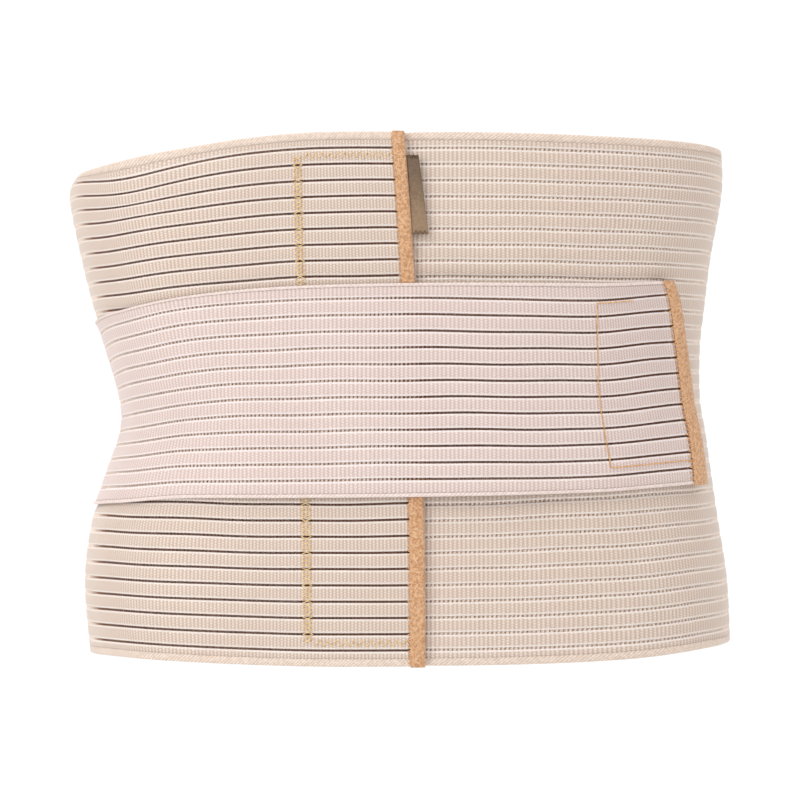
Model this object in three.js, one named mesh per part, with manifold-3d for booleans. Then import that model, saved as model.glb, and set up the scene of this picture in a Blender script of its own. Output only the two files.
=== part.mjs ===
// Abdominal binder in millimetres, +Z up, origin in the middle of the waist and at mid height, front towards -Y.
// One wide strip of open elastic winds round the body and laps over itself at the front left. A narrower
// tension band is sewn on at the back and crosses the front from the left. Hook panels hold both free ends.
import * as THREE from "three";
import { mergeGeometries, mergeVertices } from "three/addons/utils/BufferGeometryUtils.js";
import Module from "manifold-3d";

const { MathUtils } = THREE;
const wasm = await Module();
wasm.setup();

// Body form that the cloth is wound on
const waistWidth = 260;
const waistDepth = 190;
const formSquareness = 2.3;

// Cloth
const beltHeight = 230;
const beltStrips = 33;
const bandHeight = 91.6;
const bandStrips = 13;
const bandRaise = 4.3;
const clothThickness = 1.6;
const stripGap = 1.1;
const seamWidth = 3.6;

// Tapes, panels and label
const tapeThickness = 1;
const tapeWidth = 5.6;
const panelThickness = 1;
const flapPanelWidth = { top: 40, bottom: 47 };
const bandPanelWidth = { top: 33, bottom: 42 };
const labelThickness = 1;
const labelWidth = 7;
const labelLength = 36;
const labelDrop = 8.5;

// Room between touching pieces, and under cloth that lies on cloth
const clearance = 0.3;
const snugGap = 0.6;
const lappedGap = Math.max(tapeThickness, panelThickness) + 2 * clearance;

// Turns are degrees round the body from the front centre towards the wearer's left, which is +X.
// Each end is given where its binding folds over, at the top and bottom edge.
const rootTurn = 179.2;
const facetsPerTurn = 22;
const facetTurn = 360 / facetsPerTurn;
const facetStart = rootTurn - 180;
const leastFacet = 0.3;
const probeTurn = 0.5;
const panelRows = 11;
const labelRows = 4;
const tapeRows = { flap: 11, innerEnd: beltStrips, band: bandStrips, bandRoot: 6 };
const innerEnd = { top: -70, bottom: -70 };
const flapEnd = { top: 360.8, bottom: 364.5 };
const bandRoot = { top: rootTurn, bottom: rootTurn };
const bandEnd = { top: 414.3, bottom: 424.6 };
const beltSwell = { from: 195, to: 262 };
const rootRelease = { from: 195, to: 225 };
const flapRise = { from: 308, to: 340 };
const bandFall = { from: 374, to: 404 };

// Half widths of the body form as shares of the waist's width, and half depths as shares of its depth,
// at heights that are shares of the belt's height
const formSections = [
  { height: 0.52, left: 0.572, right: 0.552, front: 0.505, back: 0.475 },
  { height: 0.42, left: 0.571, right: 0.563, front: 0.505, back: 0.475 },
  { height: 0.28, left: 0.547, right: 0.545, front: 0.503, back: 0.478 },
  { height: 0.17, left: 0.522, right: 0.533, front: 0.502, back: 0.482 },
  { height: 0.11, left: 0.495, right: 0.527, front: 0.5, back: 0.485 },
  { height: 0, left: 0.471, right: 0.527, front: 0.5, back: 0.485 },
  { height: -0.06, left: 0.47, right: 0.536, front: 0.503, back: 0.485 },
  { height: -0.14, left: 0.495, right: 0.546, front: 0.508, back: 0.488 },
  { height: -0.24, left: 0.528, right: 0.559, front: 0.513, back: 0.493 },
  { height: -0.36, left: 0.541, right: 0.575, front: 0.518, back: 0.5 },
  { height: -0.52, left: 0.53, right: 0.581, front: 0.518, back: 0.503 },
];

// How far down the upper and lower lines of the two tables below are, as shares of the way to the bottom edge
const beltLines = { upper: 9 / 33, lower: 23 / 33 };
const bandLines = { upper: 1 / 13, lower: 12 / 13 };

// Where the belt's top edge, its upper and lower line and its bottom edge run, as shares of its height
const beltCourse = [
  { turn: -72, top: 0.434, upper: 0.2, lower: -0.196, bottom: -0.488 },
  { turn: -40, top: 0.461, upper: 0.212, lower: -0.195, bottom: -0.489 },
  { turn: -15, top: 0.49, upper: 0.226, lower: -0.196, bottom: -0.491 },
  { turn: 5, top: 0.501, upper: 0.23, lower: -0.196, bottom: -0.496 },
  { turn: 38, top: 0.499, upper: 0.23, lower: -0.185, bottom: -0.492 },
  { turn: 60, top: 0.498, upper: 0.231, lower: -0.177, bottom: -0.482 },
  { turn: 90, top: 0.496, upper: 0.23, lower: -0.178, bottom: -0.481 },
  { turn: 180, top: 0.487, upper: 0.226, lower: -0.187, bottom: -0.487 },
  { turn: 235, top: 0.466, upper: 0.214, lower: -0.194, bottom: -0.495 },
  { turn: 275, top: 0.442, upper: 0.202, lower: -0.197, bottom: -0.503 },
  { turn: 300, top: 0.449, upper: 0.203, lower: -0.195, bottom: -0.496 },
  { turn: 320, top: 0.472, upper: 0.215, lower: -0.194, bottom: -0.495 },
  { turn: 335, top: 0.492, upper: 0.225, lower: -0.195, bottom: -0.496 },
  { turn: 346, top: 0.5, upper: 0.23, lower: -0.195, bottom: -0.497 },
  { turn: 365, top: 0.5, upper: 0.233, lower: -0.192, bottom: -0.496 },
];

// Where the band's top edge, its upper and lower line and its bottom edge run, as shares of its height
const bandCourse = [
  { turn: 179, top: 0.47, upper: 0.395, lower: -0.39, bottom: -0.47 },
  { turn: 235, top: 0.42, upper: 0.35, lower: -0.41, bottom: -0.49 },
  { turn: 275, top: 0.34, upper: 0.28, lower: -0.48, bottom: -0.565 },
  { turn: 300, top: 0.383, upper: 0.322, lower: -0.467, bottom: -0.548 },
  { turn: 320, top: 0.441, upper: 0.382, lower: -0.437, bottom: -0.515 },
  { turn: 340, top: 0.484, upper: 0.418, lower: -0.427, bottom: -0.507 },
  { turn: 362, top: 0.5, upper: 0.43, lower: -0.416, bottom: -0.5 },
  { turn: 395, top: 0.507, upper: 0.424, lower: -0.41, bottom: -0.484 },
  { turn: 409, top: 0.522, upper: 0.455, lower: -0.388, bottom: -0.466 },
  { turn: 424, top: 0.54, upper: 0.484, lower: -0.372, bottom: -0.452 },
];

const belt = {
  strips: beltStrips,
  height: beltHeight,
  middle: 0,
  course: beltCourse,
  lines: beltLines,
  lift: beltLift,
};
const band = {
  strips: bandStrips,
  height: bandHeight,
  middle: bandRaise,
  course: bandCourse,
  lines: bandLines,
  lift: bandLift,
};

// Value of a column of a table at a place between its rows, on a smooth curve through them
function fromTable(table, key, column, place) {
  const rising = table[table.length - 1][key] > table[0][key];
  const rows = rising ? table : table.toReversed();
  const last = rows.length - 1;
  const found = rows.findIndex((row) => row[key] > place);
  const low = found === -1 ? last - 1 : Math.max(found - 1, 0);
  const slope = (i) => {
    const before = rows[Math.max(i - 1, 0)];
    const after = rows[Math.min(i + 1, last)];
    return (after[column] - before[column]) / (after[key] - before[key]);
  };
  const span = rows[low + 1][key] - rows[low][key];
  const t = MathUtils.clamp((place - rows[low][key]) / span, 0, 1);
  const bend = t * t * (3 - 2 * t);
  return (
    MathUtils.lerp(rows[low][column], rows[low + 1][column], bend) +
    span * (t * (1 - t) * (1 - t) * slope(low) - t * t * (1 - t) * slope(low + 1))
  );
}

// Point on the body form at a turn and a height
function formPoint(turn, z) {
  const section = (column) => fromTable(formSections, "height", column, z / beltHeight);
  const s = Math.sin(MathUtils.degToRad(turn));
  const c = Math.cos(MathUtils.degToRad(turn));
  const power = formSquareness;
  const reach = (Math.abs(s) ** power + Math.abs(c) ** power) ** (-1 / power);
  const halfWidth = waistWidth * section(s < 0 ? "left" : "right");
  const halfDepth = waistDepth * section(c > 0 ? "front" : "back");
  return new THREE.Vector3(halfWidth * s * reach, -halfDepth * c * reach, z);
}

// Level direction that points away from the body there
function formNormal(turn, z) {
  const along = formPoint(turn + probeTurn, z).sub(formPoint(turn - probeTurn, z));
  return new THREE.Vector3(along.y, -along.x, 0).normalize();
}

// Degrees that a length takes up round the body at a turn
function turnOf(length, turn) {
  const probed = formPoint(turn + probeTurn, 0).distanceTo(formPoint(turn - probeTurn, 0));
  return (2 * probeTurn * length) / probed;
}

// Distance from the body form to the inner face of the belt
function beltLift(turn) {
  return (clothThickness + lappedGap) * MathUtils.smoothstep(turn, beltSwell.from, beltSwell.to);
}

// The same for the band, which lies on one or two layers of the belt
function bandLift(turn) {
  const overFlap = beltLift(turn) * (1 - MathUtils.smoothstep(turn, bandFall.from, bandFall.to));
  const tight =
    MathUtils.smoothstep(turn, rootRelease.from, rootRelease.to) -
    MathUtils.smoothstep(turn, flapRise.from, flapRise.to);
  return overFlap + clothThickness + MathUtils.lerp(lappedGap, snugGap, tight);
}

// Height of a place on a layer, given as a share of the way from its top edge to its bottom edge
function layerHeight(layer, turn, share) {
  const at = (column) => layer.middle + layer.height * fromTable(layer.course, "turn", column, turn);
  const { upper, lower } = layer.lines;
  if (share < upper) return MathUtils.mapLinear(share, 0, upper, at("top"), at("upper"));
  if (share > lower) return MathUtils.mapLinear(share, lower, 1, at("lower"), at("bottom"));
  return MathUtils.mapLinear(share, upper, lower, at("upper"), at("lower"));
}

// Point of a layer at one facet edge. The level is a share with a shift in millimetres, and the depth is
// measured outwards from the layer's inner face.
function facetEdgePoint(layer, turn, level, depth) {
  const z = layerHeight(layer, turn, level.share) + level.shift;
  return formPoint(turn, z).addScaledVector(formNormal(turn, z), layer.lift(turn) + depth);
}

// Point anywhere on a layer, on the flat facet between two facet edges
function layerPoint(layer, turn, level, depth) {
  const low = facetStart + Math.floor((turn - facetStart) / facetTurn) * facetTurn;
  const t = (turn - low) / facetTurn;
  const start = facetEdgePoint(layer, low, level, depth);
  return start.lerp(facetEdgePoint(layer, low + facetTurn, level, depth), t);
}

// Turns of the facet edges that lie between two turns
function facetEdges(from, to) {
  const first = Math.floor((from - facetStart) / facetTurn) + 1;
  const count = Math.ceil((to - facetStart) / facetTurn) - first;
  return Array.from({ length: count }, (_, i) => facetStart + (first + i) * facetTurn);
}

const endAt = (end, share) => MathUtils.lerp(end.top, end.bottom, share);

// An end moved along the layer by a length, which may differ from top to bottom
function shifted(end, length) {
  const { top, bottom } = typeof length === "number" ? { top: length, bottom: length } : length;
  return { top: end.top + turnOf(top, end.top), bottom: end.bottom + turnOf(bottom, end.bottom) };
}

function solidOf(geometry) {
  geometry.deleteAttribute("normal");
  geometry.deleteAttribute("uv");
  const merged = mergeVertices(geometry, 1e-4);
  return new wasm.Manifold(
    new wasm.Mesh({
      numProp: 3,
      vertProperties: merged.getAttribute("position").array,
      triVerts: new Uint32Array(merged.index.array),
    }),
  );
}

// Faces of a box's sides, counted as three.js does: 0 to 3 for its ends, top and bottom, 4 and 5 for its
// front and back. Only the cells that pass the test are kept.
function boxSides(columns, rows, sides, keepsCell) {
  const box = new THREE.BoxGeometry(columns, rows, 1, columns, rows, 1);
  const middle = new THREE.Vector3();
  const corner = new THREE.Vector3();
  const kept = [];
  for (const side of sides) {
    const { start, count } = box.groups[side];
    for (let i = start; i < start + count; i += 3) {
      const corners = [0, 1, 2].map((n) => box.index.getX(i + n));
      middle.set(0, 0, 0);
      for (const n of corners) middle.add(corner.fromBufferAttribute(box.attributes.position, n));
      middle.divideScalar(3);
      if (keepsCell(Math.floor(middle.x + columns / 2), Math.floor(rows / 2 - middle.y))) kept.push(...corners);
    }
  }
  box.setIndex(kept);
  box.clearGroups();
  return box;
}

function turnInsideOut(geometry) {
  const { index, attributes } = geometry;
  const order = index ? index.array : Array.from({ length: attributes.position.count }, (_, i) => i);
  geometry.setIndex(Array.from(order).reverse());
}

// Walls of one opening in a plate, facing into the opening
function openingWalls(columns, rows, firstColumn, lastColumn, row) {
  const length = lastColumn - firstColumn + 1;
  const walls = boxSides(length, 1, [0, 1, 2, 3], () => true);
  walls.translate(firstColumn + (length - columns) / 2, (rows - 1) / 2 - row, 0);
  turnInsideOut(walls);
  return walls;
}

// Flat plate of cells, a millimetre each way, with the listed openings cut through
function cellPlate(columns, rows, openings) {
  const isOpen = (column, row) =>
    openings.some((o) => row === o.row && column >= o.firstColumn && column <= o.lastColumn);
  const faces = boxSides(columns, rows, [4, 5], (column, row) => !isOpen(column, row));
  const edges = boxSides(columns, rows, [0, 1, 2, 3], () => true);
  const walls = openings.map((o) => openingWalls(columns, rows, o.firstColumn, o.lastColumn, o.row));
  return mergeGeometries([faces, edges, ...walls]);
}

// Lays a plate on a layer. Its cells' corners go to the column ends and the levels listed.
function laid(layer, plate, columnEnds, levels, innerDepth, outerDepth) {
  const columns = columnEnds.length - 1;
  const rows = levels.length - 1;
  const positions = plate.getAttribute("position");
  for (let i = 0; i < positions.count; i++) {
    const column = Math.round(positions.getX(i) + columns / 2);
    const level = levels[Math.round(rows / 2 - positions.getY(i))];
    const turn = columnTurn(columnEnds, column, level.share);
    const depth = positions.getZ(i) > 0 ? outerDepth : innerDepth;
    const point = layerPoint(layer, turn, level, depth);
    positions.setXYZ(i, point.x, point.y, point.z);
  }
  return solidOf(plate);
}

// Turn of a column at a share of the height. A facet edge keeps inside the slanted ends beside it.
function columnTurn(columnEnds, column, share) {
  const end = columnEnds[column];
  if (!end.isFacetEdge) return endAt(end, share);
  const before = endAt(columnEnds.slice(0, column).findLast((other) => !other.isFacetEdge), share);
  const after = endAt(columnEnds.slice(column).find((other) => !other.isFacetEdge), share);
  return MathUtils.clamp(end.top, Math.min(before, after) + leastFacet, Math.max(before, after) - leastFacet);
}

// Columns of a piece: the ends given, in order, and the facet edges between them
function columnsOf(ends) {
  const columns = [ends[0]];
  for (let i = 1; i < ends.length; i++) {
    const from = Math.min(ends[i - 1].top, ends[i - 1].bottom) + 2 * leastFacet;
    const to = Math.max(ends[i].top, ends[i].bottom) - 2 * leastFacet;
    for (const turn of facetEdges(from, to)) columns.push({ top: turn, bottom: turn, isFacetEdge: true });
    columns.push(ends[i]);
  }
  return columns;
}

// Plain sheet of a layer between two ends
function sheet(layer, from, to, levels, innerDepth, outerDepth) {
  const columns = columnsOf([from, to]);
  const plate = cellPlate(columns.length - 1, levels.length - 1, []);
  return laid(layer, plate, columns, levels, innerDepth, outerDepth);
}

// Levels spread evenly over a stretch of a layer
function evenLevels(firstShare, lastShare, count) {
  return Array.from({ length: count + 1 }, (_, i) => ({
    share: MathUtils.lerp(firstShare, lastShare, i / count),
    shift: 0,
  }));
}

// Open elastic: strips with a gap between each two, joined by an upright seam at each end and by one more
// at each further turn given
function openCloth(layer, startEnd, stopEnd, seamStarts) {
  const bound = tapeThickness + clearance;
  const from = shifted(startEnd, bound);
  const to = shifted(stopEnd, -bound);
  const innerSeams = seamStarts.flatMap((start) => [start, shifted(start, seamWidth)]);
  const ends = [from, shifted(from, seamWidth), ...innerSeams, shifted(to, -seamWidth), to];
  const columns = columnsOf(ends);
  const levels = [{ share: 0, shift: 0 }];
  for (let i = 1; i < layer.strips; i++) {
    levels.push({ share: i / layer.strips, shift: stripGap / 2 });
    levels.push({ share: i / layer.strips, shift: -stripGap / 2 });
  }
  levels.push({ share: 1, shift: 0 });
  const openings = [];
  for (let i = 1; i < ends.length - 1; i += 2) {
    const firstColumn = columns.indexOf(ends[i]);
    const lastColumn = columns.indexOf(ends[i + 1]) - 1;
    for (let row = 1; row < levels.length - 1; row += 2) openings.push({ firstColumn, lastColumn, row });
  }
  const plate = cellPlate(columns.length - 1, levels.length - 1, openings);
  return laid(layer, plate, columns, levels, 0, clothThickness);
}

// Tape folded round a cut end, in so many rows down its height. The side is +1 where the layer runs
// out and -1 where it begins.
function foldedTape(layer, end, side, rows) {
  const leafEdge = shifted(end, -side * tapeWidth);
  const foldInside = shifted(end, -side * tapeThickness);
  const columns = side > 0 ? columnsOf([leafEdge, foldInside, end]) : columnsOf([end, foldInside, leafEdge]);
  if (side < 0) columns.reverse();
  const fold = columns.length - 1;
  const alongLeaf = Array.from({ length: fold - 1 }, (_, i) => i);
  const innerFace = -clearance - tapeThickness;
  const outerFace = clothThickness + clearance + tapeThickness;
  const run = (stops, depth) => stops.map((column) => new THREE.Vector2(column, depth));
  const section = new THREE.Shape([
    ...run([...alongLeaf, fold], innerFace),
    ...run([...alongLeaf, fold], outerFace).reverse(),
    ...run([...alongLeaf, fold - 1], outerFace - tapeThickness),
    ...run([...alongLeaf, fold - 1], innerFace + tapeThickness).reverse(),
  ]);
  const tape = new THREE.ExtrudeGeometry(section, { depth: rows, steps: rows, bevelEnabled: false });
  const positions = tape.getAttribute("position");
  for (let i = 0; i < positions.count; i++) {
    const share = positions.getZ(i) / rows;
    const turn = columnTurn(columns, Math.round(positions.getX(i)), share);
    const point = layerPoint(layer, turn, { share, shift: 0 }, positions.getY(i));
    positions.setXYZ(i, point.x, point.y, point.z);
  }
  if (side < 0) turnInsideOut(tape);
  return solidOf(tape);
}

// Panel of hooks sewn behind a free end, from the second strip to the last but one
function hookPanel(layer, end, width) {
  const edge = shifted(end, -tapeWidth - clearance);
  const start = shifted(edge, { top: -width.top, bottom: -width.bottom });
  const inset = 1 / layer.strips;
  const levels = evenLevels(inset, 1 - inset, panelRows);
  return sheet(layer, start, edge, levels, -clearance - panelThickness, -clearance);
}

// Satin label caught in the flap's binding, standing out past its fold
function sideLabel() {
  const start = shifted(flapEnd, clearance);
  const firstShare = labelDrop / beltHeight;
  const lastShare = (labelDrop + labelLength) / beltHeight;
  const levels = evenLevels(firstShare, lastShare, labelRows);
  return sheet(belt, start, shifted(start, labelWidth), levels, clearance, clearance + labelThickness);
}

const binder = new THREE.Group();

function place(name, solid, color, roughness) {
  const made = solid.getMesh();
  const geometry = new THREE.BufferGeometry();
  geometry.setAttribute("position", new THREE.BufferAttribute(made.vertProperties, 3));
  geometry.setIndex(new THREE.BufferAttribute(made.triVerts, 1));
  geometry.computeVertexNormals();
  const material = new THREE.MeshStandardMaterial({ color, roughness, metalness: 0 });
  const mesh = new THREE.Mesh(geometry, material);
  mesh.name = name;
  binder.add(mesh);
}

place("main_belt", openCloth(belt, innerEnd, flapEnd, [bandRoot]), "#dcc2a8", 0.92);
place("tension_band", openCloth(band, bandRoot, bandEnd, []), "#e3cdc1", 0.9);
place("flap_binding", foldedTape(belt, flapEnd, 1, tapeRows.flap), "#d9a06b", 0.95);
place("inner_end_binding", foldedTape(belt, innerEnd, -1, tapeRows.innerEnd), "#d9a06b", 0.95);
place("band_binding", foldedTape(band, bandEnd, 1, tapeRows.band), "#d9a06b", 0.95);
place("band_root_binding", foldedTape(band, bandRoot, -1, tapeRows.bandRoot), "#d9a06b", 0.95);
place("flap_hook_panel", hookPanel(belt, flapEnd, flapPanelWidth), "#d3b798", 0.95);
place("band_hook_panel", hookPanel(band, bandEnd, bandPanelWidth), "#d3b798", 0.95);
place("side_label", sideLabel(), "#a3958a", 0.5);

export default binder;
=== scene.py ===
import math

import bmesh
import bpy
import numpy as np
from mathutils import Matrix, Vector


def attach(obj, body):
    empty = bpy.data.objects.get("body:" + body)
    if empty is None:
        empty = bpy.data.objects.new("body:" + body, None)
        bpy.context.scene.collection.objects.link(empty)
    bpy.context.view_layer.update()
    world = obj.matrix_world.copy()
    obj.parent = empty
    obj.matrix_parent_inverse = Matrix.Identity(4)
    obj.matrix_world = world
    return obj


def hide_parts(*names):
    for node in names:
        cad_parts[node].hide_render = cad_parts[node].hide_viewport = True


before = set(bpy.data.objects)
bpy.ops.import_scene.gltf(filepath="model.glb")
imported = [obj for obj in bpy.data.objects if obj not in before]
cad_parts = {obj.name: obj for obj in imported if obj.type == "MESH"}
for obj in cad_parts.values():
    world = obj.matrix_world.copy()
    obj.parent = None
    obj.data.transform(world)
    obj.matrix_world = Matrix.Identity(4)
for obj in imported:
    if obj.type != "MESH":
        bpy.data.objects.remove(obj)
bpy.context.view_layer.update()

# Waist that the cloth is wound on
# The binder is shown as it is worn, stretched round a waist that isn't there. The waist's outline is a
# rounded oblong whose four half widths change with height, which gives the hollow above the hips.
waist_width = 0.260
waist_depth = 0.190
waist_squareness = 2.3
belt_height = 0.230

# Height, then left, right, front and back reach, as shares of the belt's height and of the waist's sides
waist_outline = np.array([
    [-0.52, 0.530, 0.581, 0.518, 0.503],
    [-0.36, 0.541, 0.575, 0.518, 0.500],
    [-0.24, 0.528, 0.559, 0.513, 0.493],
    [-0.14, 0.500, 0.546, 0.508, 0.488],
    [-0.06, 0.476, 0.536, 0.503, 0.485],
    [0.00, 0.477, 0.527, 0.500, 0.485],
    [0.11, 0.505, 0.527, 0.500, 0.485],
    [0.17, 0.522, 0.533, 0.502, 0.482],
    [0.28, 0.547, 0.545, 0.503, 0.478],
    [0.42, 0.571, 0.566, 0.505, 0.475],
    [0.52, 0.572, 0.564, 0.505, 0.475],
])


def read_off(rows, place):
    """Reads the columns of a table at places between its rows, on a smooth curve through them."""
    keys, values = rows[:, 0], rows[:, 1:]
    before = np.maximum(np.arange(len(keys)) - 1, 0)
    after = np.minimum(np.arange(len(keys)) + 1, len(keys) - 1)
    slopes = (values[after] - values[before]) / (keys[after] - keys[before])[:, None]
    low = np.clip(np.searchsorted(keys, place, side="right") - 1, 0, len(keys) - 2)
    span = (keys[low + 1] - keys[low])[:, None]
    t = np.clip((place - keys[low])[:, None] / span, 0, 1)
    bend = t * t * (3 - 2 * t)
    pull = t * (1 - t) ** 2 * slopes[low] - t * t * (1 - t) * slopes[low + 1]
    return values[low] + (values[low + 1] - values[low]) * bend + span * pull


def ease(value, low, high):
    """Goes smoothly from 0 to 1 while the value goes from low to high."""
    t = np.clip((value - low) / (high - low), 0, 1)
    return t * t * (3 - 2 * t)


def waist_point(turn, height):
    """Points of the waist. Turns are degrees from the front centre towards +X."""
    left, right, front, back = read_off(waist_outline, height / belt_height).T
    across, ahead = np.sin(np.radians(turn)), np.cos(np.radians(turn))
    power = waist_squareness
    reach = (np.abs(across) ** power + np.abs(ahead) ** power) ** (-1 / power)
    half_width = waist_width * np.where(across < 0, left, right)
    half_depth = waist_depth * np.where(ahead > 0, front, back)
    return np.stack([half_width * across * reach, -half_depth * ahead * reach, height], axis=1)


def away_from_waist(turn, height):
    """Level directions that point out of the waist."""
    half_step = 0.5
    run = waist_point(turn + half_step, height) - waist_point(turn - half_step, height)
    away = np.stack([run[:, 1], -run[:, 0], np.zeros(len(run))], axis=1)
    return away / np.linalg.norm(away, axis=1)[:, None]


def turns_past(turn, place):
    """Degrees from a place round the waist to each turn, from -180 to 180."""
    return (turn - place + 180) % 360 - 180


def hump(offset, breadth):
    """Rises smoothly to 1 where the offset is 0, and falls off on both sides."""
    return np.exp(-((offset / breadth) ** 2))


# Wearer's right side, where the band pulls the cloth in between the heights of its two edges
side_turn = 268
pinch_depth = 0.0019
pinch_breadth = 22
pinch_bottom = (-0.0495, -0.0445)
pinch_top = (0.0325, 0.0375)


def pinch(turn, height):
    """How far the cloth is pulled in under the band at the wearer's right side."""
    under_band = ease(height, *pinch_bottom) * (1 - ease(height, *pinch_top))
    return pinch_depth * hump(turns_past(turn, side_turn), pinch_breadth) * under_band


# Reach of the waist to the left and right where the front's ribs are upright, and how far they stay so
upright_left = 0.555
upright_right = 0.530
upright_turns = (20, 55)


def front_turn(turn, height):
    """Turn at which a rib passes a height. Near the front the ribs stay upright where the waist narrows."""
    left, right = read_off(waist_outline, height / belt_height).T[:2]
    off_front = turns_past(turn, 0)
    narrowing = np.where(off_front < 0, upright_left / left, upright_right / right) - 1
    return turn + off_front * narrowing * (1 - ease(np.abs(off_front), *upright_turns))


def spot(layer, turn, share, depth):
    """Points of a layer of cloth, at shares of the way down from its top edge and depths out from its
    inner face."""
    top, upper, lower, bottom = read_off(layer["course"], turn).T
    upper_share, lower_share = layer["upper_share"], layer["lower_share"]
    above = top + (upper - top) * share / upper_share
    between = upper + (lower - upper) * (share - upper_share) / (lower_share - upper_share)
    below = lower + (bottom - lower) * (share - lower_share) / (1 - lower_share)
    level = np.where(share < upper_share, above, np.where(share > lower_share, below, between))
    drop = share * layer["height"]
    height = layer["middle"] + layer["height"] * level - layer["sag"](turn, drop)
    out = layer["lift"](turn) + depth - layer["curl"](turn, drop) - pinch(turn, height)
    there = front_turn(turn, height)
    return waist_point(there, height) + away_from_waist(there, height) * out[:, None]


# Plain stretch between a cut end and its first rib, and the turns measured past each end
hem = 0.0013
spare_turns = 6


def measure(layer):
    """Notes how far along the cloth each turn comes, from the fold where the layer starts, and the number
    of its rib. The ribs lie further apart where the cloth is stretched more."""
    first, last = np.mean(layer["start"]), np.mean(layer["end"])
    turns = np.linspace(first - spare_turns, last + spare_turns, 3000)
    middle = spot(layer, turns, np.full(len(turns), 0.5), np.zeros(len(turns)))
    run = np.concatenate([[0], np.cumsum(np.linalg.norm(np.diff(middle, axis=0), axis=1))])
    layer["turns"] = turns
    layer["runs"] = run - np.interp(first, turns, run)
    layer["length"] = float(np.interp(last, turns, layer["runs"]))
    passed = np.concatenate([[0], np.cumsum(np.diff(run) / layer["rib_pitch"](turns[1:]))])
    first_rib, last_rib = np.interp((hem, layer["length"] - hem), layer["runs"], passed)
    layer["rib_count"] = round(last_rib - first_rib)
    layer["ribs"] = (passed - first_rib) * layer["rib_count"] / (last_rib - first_rib)


flare_reach = 0.014


def lay(layer, flat):
    """Lays flat cloth on the waist. Its x runs along the layer, its y up from the top edge, its z outwards.
    A free end may slant, bow out in its middle and stand off, and the strips sway a little."""
    along, up, depth = flat.T
    share = -up / layer["height"]
    turn = np.interp(along, layer["runs"], layer["turns"])
    last = np.mean(layer["end"])
    slant = layer["end"][1] - layer["end"][0]
    slanting = np.maximum((turn - layer["slant_from"]) / (last - layer["slant_from"]), 0) ** 2
    bow = layer["bow"] * 4 * share * (1 - share)
    depth = depth + layer["flare"] * ease(along, layer["length"] - flare_reach, layer["length"])
    sway = 0.00016 * np.sin(along * 131 + up * 60) + 0.00010 * np.sin(along * 57 - up * 95 + 1.3)
    share = share + sway / layer["height"] * np.sin(np.pi * np.clip(share, 0, 1))
    return spot(layer, turn + ((share - 0.5) * slant + bow) * slanting, share, depth)


# Main belt
# One wide length of open elastic goes once round the waist and a fifth of a turn more. It is woven in one
# piece, as 33 strips with a narrow gap between each two. Rubber threads run along each strip, and the yarn
# that covers them lies in upright ribs.
cloth_thickness = 0.0016
strip_gap = 0.0009
belt_strips = 33

# Turn, then the height of the top edge, of two gaps and of the bottom edge, as shares of the belt's height
belt_course = np.array([
    [-72, 0.434, 0.200, -0.196, -0.488],
    [-40, 0.461, 0.212, -0.195, -0.489],
    [-15, 0.490, 0.226, -0.196, -0.491],
    [5, 0.501, 0.230, -0.196, -0.496],
    [38, 0.499, 0.230, -0.185, -0.492],
    [60, 0.498, 0.231, -0.177, -0.482],
    [90, 0.496, 0.230, -0.178, -0.481],
    [180, 0.487, 0.226, -0.187, -0.487],
    [235, 0.466, 0.214, -0.194, -0.495],
    [275, 0.442, 0.202, -0.197, -0.503],
    [300, 0.449, 0.203, -0.195, -0.496],
    [320, 0.472, 0.215, -0.194, -0.495],
    [335, 0.492, 0.225, -0.195, -0.496],
    [346, 0.500, 0.230, -0.195, -0.497],
    [365, 0.500, 0.233, -0.192, -0.496],
])

# Room under the free end for the tape and the hook panel, and the turns over which the belt rises for it
lapped_gap = 0.0016
lapping_turns = (195, 262)


def belt_lift(turn):
    """How far the belt's inner face stands off the waist. Its outer end lies over its inner end."""
    return (cloth_thickness + lapped_gap) * ease(turn, *lapping_turns)


# Roll of the top edge at the wearer's right side: how far in, how far down, and how far round
curl_depth = 0.0098
curl_reach = 0.0128
curl_breadth_behind = 26
curl_breadth_ahead = 18


def belt_curl(turn, drop):
    """How far the belt's top edge rolls inwards at the wearer's right side, in both of its layers."""
    past_side = turns_past(turn, side_turn)
    breadth = np.where(past_side < 0, curl_breadth_behind, curl_breadth_ahead)
    return curl_depth * hump(past_side, breadth) * np.clip(1 - drop / curl_reach, 0, 1) ** 2


def belt_sag(turn, drop):
    """How far the upper strips sag past the corner at the wearer's right side, less how far they rise at
    it. The top edge keeps its place, and both fade out further down."""
    sagging = 0.0021 * hump(turn - 312, 11) * (1 - ease(drop, 0.010, 0.032))
    rising = 0.0023 * hump(turn - 287, 14) * (1 - ease(drop, 0.020, 0.062))
    return (sagging - rising) * ease(drop, 0, 0.007)


def belt_rib_pitch(turn):
    """Distance between ribs. The lapped free end is stretched less than the rest."""
    stretched, relaxed = 0.00190, 0.00145
    return stretched + (relaxed - stretched) * ease(turn, 262, 312)


belt = {
    "height": belt_height,
    "middle": 0,
    "strips": belt_strips,
    "course": belt_course,
    "upper_share": 9 / belt_strips,
    "lower_share": 23 / belt_strips,
    "lift": belt_lift,
    "curl": belt_curl,
    "sag": belt_sag,
    "rib_pitch": belt_rib_pitch,
    "selvedge": 0.0034,
    "start": (-70, -70),
    "end": (360.8, 364.5),
    "slant_from": 330,
    "bow": 1.05,
    "flare": 0,
}
measure(belt)


def corner_of(vertices, sides):
    """Number of the side edge that each vertex of an upright tube is on, clockwise from +Y."""
    angle = np.degrees(np.arctan2(vertices[:, 0], vertices[:, 1]))
    return np.rint(angle * sides / 360).astype(int) % sides


def read_vertices(mesh):
    vertices = np.empty(len(mesh.vertices) * 3)
    mesh.vertices.foreach_get("co", vertices)
    return vertices.reshape(-1, 3)


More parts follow.
